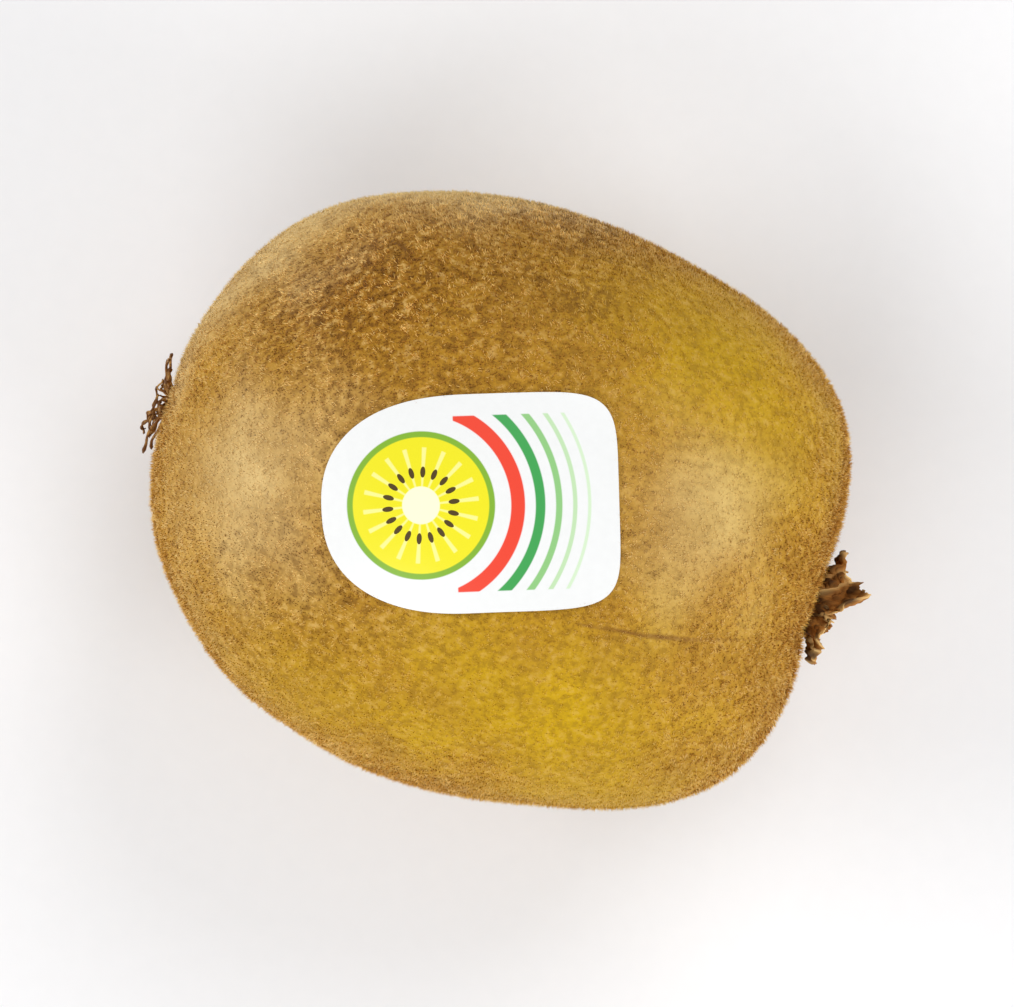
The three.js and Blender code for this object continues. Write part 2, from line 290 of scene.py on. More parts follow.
def add(tree, kind, inputs, **settings):
    """Adds a node. Each input is a number, a colour or another node's output."""
    made = tree.nodes.new("ShaderNode" + kind)
    for name, value in settings.items():
        setattr(made, name, value)
    for socket, value in inputs.items():
        if isinstance(value, bpy.types.NodeSocket):
            tree.links.new(value, made.inputs[socket])
        else:
            made.inputs[socket].default_value = value
    return made


def new_material(name):
    """An empty node material and its tree."""
    made = bpy.data.materials.new(name)
    made.use_nodes = True
    made.node_tree.nodes.clear()
    return made, made.node_tree


# Skin of a golden kiwifruit: a thin, dry, slightly waxy rind over yellow-green flesh. It is matt, and
# corky brown specks about 0.9 mm apart, each with a root of down in it, mottle it like fine suede.
SPECK = 0.9
CLOUD = 5.5
PORE = 0.33
SKIN_RELIEF = 0.12
skin_material, tree = new_material("kiwifruit_skin_matt")
place = add(tree, "TexCoord", {}).outputs["Object"]
worn, bronze_and_shade, painted_highlight, rusty, seam = (
    add(tree, "Attribute", {}, attribute_name=kept).outputs["Fac"]
    for kept in ("worn", "bronze_and_shade", "painted_highlight", "rusty", "seam")
)
cloud = add(tree, "TexNoise", {"Vector": place, "Scale": 1 / (CLOUD * MM), "Detail": 3.0}).outputs["Fac"]
speck = add(
    tree, "TexNoise",
    {"Vector": place, "Scale": 1 / (SPECK * MM), "Detail": 3.0, "Roughness": 0.62},
).outputs["Fac"]
pore = add(
    tree, "TexVoronoi", {"Vector": place, "Scale": 1 / (PORE * MM), "Randomness": 1.0},
).outputs["Distance"]
ground = add(
    tree, "Mix", {0: worn, 6: linear("#bc8c24"), 7: linear("#c8a000")}, data_type="RGBA",
).outputs[2]
# The bronze tint is partly painted shade and the pale tint is a painted highlight
for amount, tint in ((bronze_and_shade, "#8f5c14"), (painted_highlight, "#ead096"), (rusty, "#a8702c")):
    part = add(tree, "Math", {0: amount, 1: 0.8}, operation="MULTIPLY").outputs[0]
    ground = add(tree, "Mix", {0: part, 6: ground, 7: linear(tint)}, data_type="RGBA").outputs[2]
cloudy = add(
    tree, "MapRange", {"Value": cloud, "From Min": 0.35, "From Max": 0.7, "To Max": 0.45},
).outputs[0]
ground = add(tree, "Mix", {0: cloudy, 6: ground, 7: linear("#9c6f20")}, data_type="RGBA").outputs[2]
# The specks stand out where the skin is thick and bronze and under the painted shade, are faint where it is
# worn, and fainter under the painted highlight
strong = add(tree, "MapRange", {"Value": bronze_and_shade, "To Min": 0.3, "To Max": 1.0}).outputs[0]
smoother = add(tree, "MapRange", {"Value": painted_highlight, "To Min": 1.0, "To Max": 0.2}).outputs[0]
strong = add(tree, "Math", {0: strong, 1: smoother}, operation="MULTIPLY").outputs[0]
dark = add(
    tree, "MapRange", {"Value": speck, "From Min": 0.5, "From Max": 0.62, "To Max": 0.95},
).outputs[0]
dark = add(tree, "Math", {0: dark, 1: strong}, operation="MULTIPLY").outputs[0]
ground = add(tree, "Mix", {0: dark, 6: ground, 7: linear("#653d0e")}, data_type="RGBA").outputs[2]
light = add(
    tree, "MapRange", {"Value": speck, "From Min": 0.46, "From Max": 0.33, "To Max": 0.7},
).outputs[0]
light = add(tree, "Math", {0: light, 1: strong}, operation="MULTIPLY").outputs[0]
ground = add(tree, "Mix", {0: light, 6: ground, 7: linear("#ecc67a")}, data_type="RGBA").outputs[2]
line = add(
    tree, "MapRange", {"Value": seam, "From Min": 0.08, "From Max": 0.4, "To Min": 0.75, "To Max": 0.0},
).outputs[0]
ground = add(tree, "Mix", {0: line, 6: ground, 7: linear("#6e3f1a")}, data_type="RGBA").outputs[2]
height = add(tree, "Math", {0: speck, 1: 0.6, 2: pore}, operation="MULTIPLY_ADD").outputs[0]
bump = add(tree, "Bump", {"Height": height, "Strength": 0.45, "Distance": SKIN_RELIEF * MM}).outputs[0]
surface = add(tree, "BsdfPrincipled", {
    "Base Color": ground, "Normal": bump, "Roughness": 0.6, "IOR": 1.45, "Specular IOR Level": 0.2,
    "Sheen Weight": 0.05, "Sheen Roughness": 0.4, "Sheen Tint": linear("#e6c48a"),
})
add(tree, "OutputMaterial", {"Surface": surface.outputs[0]})

berry = new_piece("berry_skin", skin_points, squares, skin_material)
seam_y = np.interp(plain_skin[:, 0], SEAM_X, SEAM_Y)
seam_away = np.abs(plain_skin[:, 1] - seam_y) + SEAM_FADE * np.abs(plain_skin[:, 0] - SEAM_MIDDLE)
beside_seam = (plain_skin[:, 2] > 0) & (plain_skin[:, 0] > SEAM_X[0])
seam_away = np.where(beside_seam, seam_away, OFF_SEAM)
# The bronze patches carry painted shade as well, and the pale patches are painted highlights
for kept, spots in (("worn", WORN), ("bronze_and_shade", BRONZE_AND_SHADE), ("painted_highlight", PAINTED_HIGHLIGHT)):
    mark(berry, kept, patches(plain_skin, spots))
mark(berry, "rusty", end_tint(plain_skin))
mark(berry, "seam", seam_away)
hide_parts("fruit")

# The printed label's place. The label is a piece of thin coated paper, stuck on by its own glue. Round
# at one end and square at the other, it lies askew on top of the fruit. Its outline comes before the
# down, because it presses the down flat.
LABEL_LENGTH = 27.8
LABEL_WIDTH = 20.4
LABEL_MIDDLE = (-1.6, 0.2)
LABEL_TURN = math.radians(19.5)
LABEL_ROUND = 2.4  # power of the outline at its round end, and at its square end
LABEL_SQUARE = 6


def on_label(p):
    """Where the points p are on the label: 1 on its edge and less inside. The underside gets 9."""
    x = p[:, 0] - LABEL_MIDDLE[0]
    y = p[:, 1] - LABEL_MIDDLE[1]
    a = (x * math.cos(LABEL_TURN) + y * math.sin(LABEL_TURN)) / (LABEL_LENGTH / 2)
    b = (y * math.cos(LABEL_TURN) - x * math.sin(LABEL_TURN)) / (LABEL_WIDTH / 2)
    power = np.where(a < 0, LABEL_ROUND, LABEL_SQUARE)
    out = (np.abs(a) ** power + np.abs(b) ** power) ** (1 / power)
    return np.where(p[:, 2] > 0, out, 9)


# The down. Short soft hairs grow out of the skin in small tufts, whose tips lean together. They are
# about 0.02 mm thick on the real fruit and 50 to the square millimetre. Here each is drawn three to
# four times as thick and there are fewer of them, so that they show.
TUFTS = 19000  # one to about 0.6 mm2 of skin
HAIRS = 141000
HAIR_LENGTH = (0.3, 0.62)
HAIR_THICK = 0.042  # from its middle to its corner, at the root
ROOTED = 0.03
STAND = (0.45, 0.95)  # how upright a hair is
TUFT_PULL = 0.9  # how much it leans to the middle of its tuft, anyhow, and towards the blossom end
LEAN_SPREAD = 0.28
COMBED = 0.3
WORN_SHARE = 0.6  # share of the down that is gone where the skin is worn
RUSTY_LONGER = 0.7
WORN_SHORTER = 0.3
LABEL_CLEAR = 0.985
SCAR_CLEAR = 2.6
FLAT_SPOT_CLEAR = 0.35  # no down grows lower than this, where the fruit rests
FLOOR_CLEAR = 0.02
DOWN_PIECES = [
    ("down_bronze", "#965f1a", "#d0923a"),
    ("down_tan", "#bb862e", "#eab658"),
    ("down_gold", "#d2a24a", "#fcda90"),
]
rng = np.random.default_rng(41)


def scatter(count, keep):
    """Random places on the skin, even over its area apart from the share that is kept there.
    Gives the points, the skin's normals and the places on the plain body."""
    corner = skin_points[squares]
    cross = np.cross(corner[:, 2] - corner[:, 0], corner[:, 3] - corner[:, 1])
    weight = np.linalg.norm(cross, axis=1) * keep[squares].mean(1)
    which = np.searchsorted(np.cumsum(weight), rng.random(count) * weight.sum())
    across, along = rng.random((2, count, 1))
    places = []
    for source in (skin_points, plain_skin):
        c = source[squares[which]]
        places.append(lerp(lerp(c[:, 0], c[:, 1], across), lerp(c[:, 3], c[:, 2], across), along))
    return places[0], unit(cross[which]), places[1]


def make_down(hairs):
    """Four corners of each hair, and what its material needs: its place in the order of tints, how worn the
    skin is there, how much painted highlight lies on it, and how light it is."""
    bare = (on_label(plain_skin) < LABEL_CLEAR) | (skin_points[:, 2] < FLAT_SPOT_CLEAR)
    from_scar = np.hypot(plain_skin[:, 1] - STEM_DIMPLE[2], plain_skin[:, 2])
    bare |= (plain_skin[:, 0] > 0) & (from_scar < SCAR_CLEAR)
    keep = np.where(bare, 0, 1 - WORN_SHARE * patches(plain_skin, WORN))
    root, normal, plain = scatter(hairs, keep)
    inside = on_label(plain) < LABEL_CLEAR
    root, normal, plain = root[~inside], normal[~inside], plain[~inside]
    count = len(root)

    # Each hair leans towards the middle of its tuft, and all lean a little towards the blossom end
    middles, _, _ = scatter(TUFTS, np.ones(len(skin_points)))
    tree_of_tufts = kdtree.KDTree(TUFTS)
    for i, p in enumerate(middles):
        tree_of_tufts.insert(p, i)
    tree_of_tufts.balance()
    tuft = np.array([tree_of_tufts.find(p)[1] for p in root])
    lean = (middles[tuft] - root) * TUFT_PULL + rng.normal(0, LEAN_SPREAD, (count, 3))
    swirl = np.sin(0.21 * plain[:, 1] + 0.13 * plain[:, 2]) * COMBED
    lean += np.stack([np.full(count, -COMBED), swirl, 0.2 * np.cos(0.17 * plain[:, 0])], -1)
    lean -= normal * (lean * normal).sum(1, keepdims=True)

    rust = end_tint(plain)
    worn_here, bronze_and_shade_here, painted_highlight_here = (patches(plain, spots) for spots in (WORN, BRONZE_AND_SHADE, PAINTED_HIGHLIGHT))
    length = lerp(*HAIR_LENGTH, rng.random(count)) * (1 + RUSTY_LONGER * rust)
    length *= 1 - WORN_SHORTER * np.maximum(worn_here, painted_highlight_here)
    stand = rng.uniform(*STAND, count)[:, None]
    growing = unit(normal * stand + lean)
    side = unit(np.cross(growing, normal + rng.normal(0, 0.2, (count, 3))))
    other = np.cross(growing, side)
    thick = HAIR_THICK * rng.uniform(0.75, 1.3, count)[:, None]
    points = np.empty((count, 4, 3))
    for k in range(3):
        turn = 2 * math.pi * k / 3
        points[:, k] = root - normal * ROOTED + thick * (math.cos(turn) * side + math.sin(turn) * other)
    points[:, 3] = root + growing * length[:, None]
    points[..., 2] = np.maximum(points[..., 2], FLOOR_CLEAR)

    # Light and dark tufts mottle the fruit, darker where it is bronze and under the painted shade, and
    # paler under the painted highlight
    of_tuft = rng.random(TUFTS)[tuft] - 0.5
    of_hair = rng.random(count) - 0.5
    tint = (0.62 * of_tuft + 0.38 * of_hair) * lerp(0.5, 1.8, bronze_and_shade_here)
    tint += -0.36 * bronze_and_shade_here + 0.3 * painted_highlight_here - 0.12 * rust + 0.15 * worn_here
    value = 0.5 + 0.25 * of_hair * (1 - 0.8 * painted_highlight_here) + of_tuft * lerp(0.12, 1.2, bronze_and_shade_here)
    return points, tint, worn_here, painted_highlight_here, np.clip(value, 0, 1)


hairs_drawn = HAIRS
hair_points, hair_tint, hair_worn, hair_painted_highlight, hair_value = make_down(hairs_drawn)
hair_order = np.argsort(hair_tint, kind="stable")
HAIR_SIDES = np.array([[0, 1, 3], [1, 2, 3], [2, 0, 3], [0, 2, 1]])
# Each hair has its own small cell of the colour map: three sides next to each other, and its base
HAIR_MAP = np.array([
    [[0.04, 0.06], [0.30, 0.06], [0.17, 0.94]],
    [[0.36, 0.06], [0.63, 0.06], [0.50, 0.94]],
    [[0.69, 0.06], [0.96, 0.06], [0.83, 0.94]],
    [[0.30, 0.90], [0.34, 0.50], [0.37, 0.90]],
])
for group, (name, root_colour, tip_colour) in enumerate(DOWN_PIECES):
    mine = np.array_split(hair_order, len(DOWN_PIECES))[group]
    # Dry plant hair: hollow and dull, darker at its root and lighter at its thin tip
    down_material, tree = new_material(name + "_dry_hair")
    along, tint, painted_highlight, worn = (
        add(tree, "Attribute", {}, attribute_name=kept).outputs["Fac"]
        for kept in ("along", "tint", "painted_highlight", "worn")
    )
    colour = add(
        tree, "Mix", {0: along, 6: linear(root_colour), 7: linear(tip_colour)}, data_type="RGBA",
    ).outputs[2]
    # Over worn skin the hairs are painted yellow for the light that comes back through them from the skin,
    # and over the pale patches they are painted pale as a highlight
    for amount, most, glow in ((worn, 0.75, "#cea60c"), (painted_highlight, 0.8, "#ecd49c")):
        share = add(tree, "Math", {0: amount, 1: most}, operation="MULTIPLY").outputs[0]
        colour = add(tree, "Mix", {0: share, 6: colour, 7: linear(glow)}, data_type="RGBA").outputs[2]
    value = add(tree, "MapRange", {"Value": tint, "To Min": 0.55, "To Max": 1.48}).outputs[0]
    colour = add(tree, "HueSaturation", {"Color": colour, "Value": value}).outputs[0]
    surface = add(tree, "BsdfPrincipled", {
        "Base Color": colour, "Roughness": 0.6, "IOR": 1.5, "Specular IOR Level": 0.12,
        "Sheen Weight": 0.05, "Sheen Roughness": 0.5, "Sheen Tint": linear("#f2d49a"),
    })
    add(tree, "OutputMaterial", {"Surface": surface.outputs[0]})
    faces = (HAIR_SIDES[None] + 4 * np.arange(len(mine))[:, None, None]).reshape(-1, 3)
    down = new_piece(name, hair_points[mine].reshape(-1, 3), faces, down_material)
    mark(down, "along", np.tile([0.0, 0.0, 0.0, 1.0], len(mine)))
    for kept, values in (("worn", hair_worn), ("painted_highlight", hair_painted_highlight), ("tint", hair_value)):
        mark(down, kept, np.repeat(values[mine], 4))
    columns = math.ceil(math.sqrt(len(mine)))
    cell = np.stack([np.arange(len(mine)) % columns, np.arange(len(mine)) // columns], -1)
    spread = (HAIR_MAP.reshape(1, 12, 2) + cell[:, None]) / columns
    down.data.uv_layers.new(name="OFBake").data.foreach_set("uv", spread.ravel())

# The dry calyx. Where the stem broke off there is a round corky scar with a raised rim, and round it
# are the flower's five sepals and three scraps torn from them: papery, brittle, crumpled and curled
# outwards.
SCAR_TOP = [  # distance from its middle and height over the skin
    (0, 0.35), (0.25, 0.4), (0.45, 0.8), (0.8, 0.85), (1.15, 0.7), (1.5, 0.95), (1.9, 1.5), (2.25, 1.2),
    (2.6, 0.55), (2.9, -0.3),
]
SCAR_DARK = [  # from its middle to its edge: darker where the broken stem's soft parts shrank
    (0, 0.85), (0.08, 0.8), (0.13, 0.1), (0.22, 0.15), (0.33, 0.75), (0.43, 0.5), (0.55, 0),
    (0.75, 0.1), (0.9, 0.5), (1, 0.6),
]
SCAR_RINGS = 34
SCAR_STEPS = 96
SCAR_ROUGH = 0.14
ROUGH_LUMP = (0.55, 0.23)  # how far apart the large and the small lumps of cork are
SEPAL_ROOT = 1.5
SEPAL_LIFT = 0.3
SEPAL_THICK = (0.34, 0.16)  # at its root and at its tip
PACKED_LIFT = 0.63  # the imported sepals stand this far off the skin, and the real ones start on it
# Turn, sweep, length, slope at the root and at the tip, width and hollow of each sepal. They are drawn
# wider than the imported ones, and folded back to about their width. The last three are torn scraps.
SEPALS = [
    (-4, 38, 5.8, 34, 60, 4.0, -1.3), (97, 0, 4.8, 4, 16, 6.6, 0.4), (170, 0, 4.8, 12, 52, 6.2, 0.4),
    (244, 0, 4.9, 4, 30, 6.6, 0.4), (318, 0, 4.6, 10, 22, 6.0, 0.4), (58, 10, 4.0, 16, 38, 5.0, 0.5),
    (346, 0, 3.3, 20, 40, 4.2, 0.6), (205, 0, 3.2, 10, 30, 4.4, 0.3),
]
SEPAL_CELLS = (30, 38)
SEPAL_OFF_SKIN = 0.12  # at the least, so that no sepal cuts into the skin
SEED = 20


def draws(state):
    """Repeatable numbers from 0 to 1."""
    while True:
        state = (state * 1664525 + 1013904223) % 4294967296
        yield state / 4294967296


def above(aim, lift):
    """Points at that height over the skin in the directions aim, in the frame's own place."""
    side = np.where(np.abs(aim[..., 2:]) > 0.9, (0.0, 1.0, 0.0), (0.0, 0.0, 1.0))
    side = unit(side - aim * (side * aim).sum(-1, keepdims=True))
    here = skin_at(aim)
    one = skin_at(unit(aim + 0.01 * side)) - here
    two = skin_at(unit(aim + 0.01 * np.cross(aim, side))) - here
    return here + settle + unit(np.cross(one, two)) * np.asarray(lift)[..., None]


def near_end(sign, distance, turn):
    """Directions to the skin near one end, that far from the middle of its dimple."""
    reach = STEM_REACH if sign > 0 else BLOSSOM_REACH
    y = (STEM_DIMPLE if sign > 0 else BLOSSOM_PUCKER)[2] + distance * np.sin(turn)
    z = distance * np.cos(turn)
    return unit(np.stack([sign * np.sqrt(reach**2 - y**2 - z**2), y, z], -1))


def round_mound(sign, profile, rings, steps, rough):
    """A round mound on the skin at one end, as a fan of rings, roughened by noise."""
    distance = profile[-1][0] * np.linspace(0.03, 1, rings) ** 0.8
    height = np.interp(distance, *np.transpose(profile))
    turn = np.linspace(0, 2 * math.pi, steps, endpoint=False)
    distance, turn = np.meshgrid(distance, turn, indexing="ij")
    points = above(near_end(sign, distance, turn), np.repeat(height[:, None], steps, 1))
    flat = points.reshape(-1, 3)
    large, small = (ripple(flat, spacing) for spacing in ROUGH_LUMP)
    flat[:, 0] += sign * rough * (large + 0.6 * small)
    corner = np.arange(rings * steps).reshape(rings, steps)
    ring = [corner[:-1], corner[1:], np.roll(corner[1:], -1, 1), np.roll(corner[:-1], -1, 1)]
    faces = np.stack([c.ravel() for c in ring], -1).tolist()
    # A point on top in the middle and one under the skin close it
    top, under = len(flat), len(flat) + 1
    flat = np.concatenate([flat, flat[:steps].mean(0)[None], flat[-steps:].mean(0)[None] - (sign, 0, 0)])
    faces += [(top, a, b) for a, b in zip(corner[0], np.roll(corner[0], -1))]
    faces += [(under, b, a) for a, b in zip(corner[-1], np.roll(corner[-1], -1))]
    return flat, faces if sign < 0 else [face[::-1] for face in faces]


def slab(lower, upper):
    """Points and squares of a closed sheet between two grids of points."""
    corner = np.arange(upper[..., 0].size).reshape(upper.shape[:2])
    ring = [corner[:-1, :-1], corner[1:, :-1], corner[1:, 1:], corner[:-1, 1:]]
    top = np.stack([c.ravel() for c in ring], -1)
    rim = np.concatenate([corner[0, :-1], corner[:-1, -1], corner[-1, :0:-1], corner[:0:-1, 0]])
    onward = np.roll(rim, -1)
    wall = np.stack([rim, onward, onward + corner.size, rim + corner.size], -1)
    points = np.concatenate([upper.reshape(-1, 3), lower.reshape(-1, 3)])
    return points, np.concatenate([top, top[:, ::-1] + corner.size, wall]).tolist()


def make_sepal(turn, sweep, length, root, tip, width, cup, twist, phase):
    """One sepal as a closed sheet, with how near its edge and how deep in a fold each point is, and
    the point's place on the flat sepal."""
    u, v = np.meshgrid(*[np.linspace(0, 1, cells + 1) for cells in SEPAL_CELLS], indexing="ij")
    side = 2 * u - 1
    # Its torn tip
    torn = np.array([noise.noise(Vector((2.3 * s, phase, 0.7))) for s in side[:, 0]])
    torn += 0.3 * np.array([noise.noise(Vector((9 * s, phase, 3.3))) for s in side[:, 0]])
    v = v * (1 - 0.2 * np.abs(torn) - 0.25 * side[:, 0] ** 4)[:, None]
    # It bends steadily from its root's slope to its tip's, and is widest a little beyond its middle
    start, end = math.radians(root), math.radians(tip)
    slope = lerp(start, end, v)
    curve = length / (end - start)
    out = curve * (np.sin(slope) - math.sin(start))
    up = curve * (math.cos(start) - np.cos(slope))
    breadth = 0.68 + 0.6 * v - 0.78 * v**4
    ragged = 1 + 0.07 * np.sin(11 * v + phase + 2 * side)
    distance = SEPAL_ROOT + out - (0.5 + 1.6 * min(cup, 0)) * side**2 * v
    spread = np.radians(turn + sweep * v) + side * width / 2 * breadth * ragged / (distance + 1.1)
    # One broad crumple, and sharp folds from noise with creases
    crumple = 0.3 * v * breadth**2 * np.sin(7 * u + 5 * v + phase)
    place = np.stack([2.2 * side, 4.5 * v, np.full_like(u, phase)], -1).reshape(-1, 3)
    folds = (np.abs(ripple(place, 1.15)) + 0.5 * np.abs(ripple(place, 0.5))).reshape(u.shape)
    height = SEPAL_LIFT + up + (cup * side**2 + twist * side) * breadth * v + crumple
    height += PACKED_LIFT * smooth(v * 1.4) + 0.7 * side**4 * v + (0.35 - 1.3 * folds) * smooth(v * 2)
    middle = above(near_end(1, distance, spread), np.maximum(height, SEPAL_OFF_SKIN))
    normal = unit(np.cross(np.gradient(middle, axis=0), np.gradient(middle, axis=1)))
    thick = lerp(*SEPAL_THICK, v)[..., None] / 2 * (1 - 0.5 * side[..., None] ** 6)
    # Where the painted highlight along the edge lies: on the sides and the torn tip, in broken stretches
    rim = np.maximum(np.abs(side) ** 7, smooth((v / v.max(1, keepdims=True) - 0.9) / 0.1))
    rim = rim * smooth(0.55 + 1.6 * ripple(place + 20, 0.9).reshape(u.shape))
    return *slab(middle - normal * thick, middle + normal * thick), rim.ravel(), folds.ravel(), place


# Papery dead leaf: dull mid brown with fine veins from root to tip, with a painted tan highlight along
# its broken edges and painted near-black shade down in its folds. The veins are about 0.25 mm apart and
# some 3 mm long.
sepal_material, tree = new_material("dead_sepal_papery")
VEIN_APART = 0.25
VEIN_LONG = 2.86
SEPAL_BLOTCH = 1.6
VEIN_RELIEF = 0.12
rim, fold_shade, across, outwards = (
    add(tree, "Attribute", {}, attribute_name=kept).outputs["Fac"]
    for kept in ("rim", "fold_shade", "across", "outwards")
)
veins = add(tree, "CombineXYZ", {0: across, 1: outwards}).outputs[0]
veins = add(
    tree, "VectorMath", {0: veins, 1: (1 / VEIN_APART, 1 / VEIN_LONG, 1.0)}, operation="MULTIPLY",
).outputs[0]
veins = add(tree, "TexNoise", {"Vector": veins, "Scale": 1.0, "Detail": 3.0}).outputs["Fac"]
place = add(tree, "TexCoord", {}).outputs["Object"]
blotch = add(
    tree, "TexNoise", {"Vector": place, "Scale": 1 / (SEPAL_BLOTCH * MM), "Detail": 4.0},
).outputs["Fac"]
colour = add(
    tree, "Mix", {0: blotch, 6: linear("#94591e"), 7: linear("#cc8f44")}, data_type="RGBA",
).outputs[2]
# Veins from 0.4 to 0.65 of their noise, and painted shade in the folds from 0.25 to 0.6 of their depth
for amount, low, high, most, hex_colour in (
    (veins, 0.4, 0.65, 0.55, "#6c3f16"),
    (fold_shade, 0.25, 0.6, 0.9, "#311804"),
):
    share = add(
        tree, "MapRange", {"Value": amount, "From Min": low, "From Max": high, "To Max": most},
    ).outputs[0]
    colour = add(tree, "Mix", {0: share, 6: colour, 7: linear(hex_colour)}, data_type="RGBA").outputs[2]
# Painted tan highlight along the sepals' broken edges
share = add(tree, "Math", {0: rim, 1: 0.9}, operation="MULTIPLY").outputs[0]
colour = add(tree, "Mix", {0: share, 6: colour, 7: linear("#f0c780")}, data_type="RGBA").outputs[2]
bump = add(tree, "Bump", {"Height": veins, "Strength": 0.6, "Distance": VEIN_RELIEF * MM}).outputs[0]
surface = add(tree, "BsdfPrincipled", {
    "Base Color": colour, "Normal": bump, "Roughness": 0.72, "IOR": 1.45, "Specular IOR Level": 0.25,
})
add(tree, "OutputMaterial", {"Surface": surface.outputs[0]})

draw = draws(SEED)
parts = []
for shape in SEPALS:
    twist, phase = 0.5 * (next(draw) - 0.5), 6 * next(draw)
    parts.append(make_sepal(*shape, twist, phase))


def joined_up(parts):
    """Points and faces of several meshes as one."""
    starts = np.cumsum([0] + [len(part[0]) for part in parts[:-1]])
    faces = [[corner + start for corner in face] for part, start in zip(parts, starts) for face in part[1]]
    return np.concatenate([part[0] for part in parts]), faces


sepals = new_piece("calyx_sepals", *joined_up(parts), sepal_material)
sepals.data.set_sharp_from_angle(angle=math.radians(50))
for kept, values in (
    ("rim", [part[2] for part in parts]),
    ("fold_shade", [part[3] for part in parts]),
    ("across", [part[4][:, 0] for part in parts]),
    ("outwards", [part[4][:, 1] for part in parts]),
):
    mark(sepals, kept, np.concatenate([np.tile(value, 2) for value in values]))
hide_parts("dry_calyx")

# Cork of the stem scar: brown, dull, rough and full of the dark ends of the broken fibres
CORK_GRIT = 0.5
FIBRE_END = 0.35
CORK_RELIEF = 0.15
cork_material, tree = new_material("stem_scar_cork")
place = add(tree, "TexCoord", {}).outputs["Object"]
grit = add(tree, "TexNoise", {"Vector": place, "Scale": 1 / (CORK_GRIT * MM), "Detail": 4.0}).outputs["Fac"]
ends = add(tree, "TexVoronoi", {"Vector": place, "Scale": 1 / (FIBRE_END * MM)}).outputs["Distance"]
colour = add(
    tree, "Mix", {0: grit, 6: linear("#62401a"), 7: linear("#c09252")}, data_type="RGBA",
).outputs[2]
share = add(tree, "MapRange", {"Value": ends, "From Min": 0.35, "From Max": 0.1, "To Max": 0.7}).outputs[0]
colour = add(tree, "Mix", {0: share, 6: colour, 7: linear("#2b190c")}, data_type="RGBA").outputs[2]
dark = add(tree, "Attribute", {}, attribute_name="dark").outputs["Fac"]
colour = add(tree, "Mix", {0: dark, 6: colour, 7: linear("#34200e")}, data_type="RGBA").outputs[2]
bump = add(tree, "Bump", {"Height": grit, "Strength": 0.7, "Distance": CORK_RELIEF * MM}).outputs[0]
surface = add(tree, "BsdfPrincipled", {
    "Base Color": colour, "Normal": bump, "Roughness": 0.8, "IOR": 1.45, "Specular IOR Level": 0.25,
})
add(tree, "OutputMaterial", {"Surface": surface.outputs[0]})
scar_shape = round_mound(1, SCAR_TOP, SCAR_RINGS, SCAR_STEPS, SCAR_ROUGH)
scar = new_piece("stem_scar", *scar_shape, cork_material)
ring_dark = np.interp(np.linspace(0, 1, SCAR_RINGS), *np.transpose(SCAR_DARK))
mark(scar, "dark", np.append(np.repeat(ring_dark, SCAR_STEPS), (0.8, 0.8)))
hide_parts("dry_calyx")

# The dried styles. The flower's styles dry to brittle, dark, curled threads that stay on the blossom
# end in a tuft, each with a small knob at its tip, on a low corky button.
BUTTON_TOP = [(0, 0.6), (0.7, 0.62), (1.2, 0.5), (1.6, 0.2), (1.9, -0.25)]
BUTTON_RINGS = 22
BUTTON_STEPS = 64
BUTTON_ROUGH = 0.09
STYLES = 17
STYLE_LENGTH = (2.4, 5.2)
STYLE_RISE = 1.15
STYLE_SWEEP = 1.6
STYLE_LIFT = 0.66
STYLE_ROOT = 0.5
STYLE_STEPS = 18
STYLE_SIDES = 7
# Half the thickness along a style: a little stout at its root, fine, and knobbed at its tip
STYLE_THICK = [(0, 0.22), (0.15, 0.17), (0.6, 0.13), (0.86, 0.14), (0.95, 0.2), (1, 0.08)]
FINE_STYLES = 16  # broken and younger ones among them, thinner, shorter and more wavy
FINE_LENGTH = (0.9, 3.8)
FINE_RISE = (0.2, 1.6)
FINE_SWEEP = (-2, 2)
FINE_SCALE = 0.62
FINE_WOBBLE = 2.5


def thread(turn, length, rise, sweep, scale, wobble):
    """One dried style as a closed tube along its curled path."""
    share = np.linspace(0, 1, STYLE_STEPS)
    turns = turn + sweep * share**2 + wobble * 0.05 * np.sin(9 * share + turn)
    lift = STYLE_LIFT * (0.35 + 0.65 * share) + rise * np.sin(2.2 * share)
    lift += 0.1 * wobble * np.sin(13 * share + 5 * turn) * share
    path = above(near_end(-1, STYLE_ROOT + length * share, turns), lift)
    ahead = unit(np.gradient(path, axis=0))
    side = unit(np.cross(ahead, (1.0, 0.0, 0.0)))
    other = np.cross(ahead, side)
    round_it = np.linspace(0, 2 * math.pi, STYLE_SIDES, endpoint=False)
    thick = np.interp(share, *np.transpose(STYLE_THICK))[:, None, None] * scale
    knobbly = 1 + 0.18 * np.sin(3 * round_it[None, :, None] + 17 * share[:, None, None] + turn)
    ring = np.cos(round_it)[None, :, None] * side[:, None]
    ring = ring + np.sin(round_it)[None, :, None] * other[:, None]
    points = (path[:, None] + thick * knobbly * ring).reshape(-1, 3)
    corner = np.arange(len(points)).reshape(STYLE_STEPS, STYLE_SIDES)
    nexts = np.roll(corner, -1, 1)
    faces = np.stack([corner[:-1], nexts[:-1], nexts[1:], corner[1:]], -1).reshape(-1, 4).tolist()
    faces += [corner[0, ::-1].tolist(), corner[-1].tolist()]
    return points, faces, np.repeat(share, STYLE_SIDES)


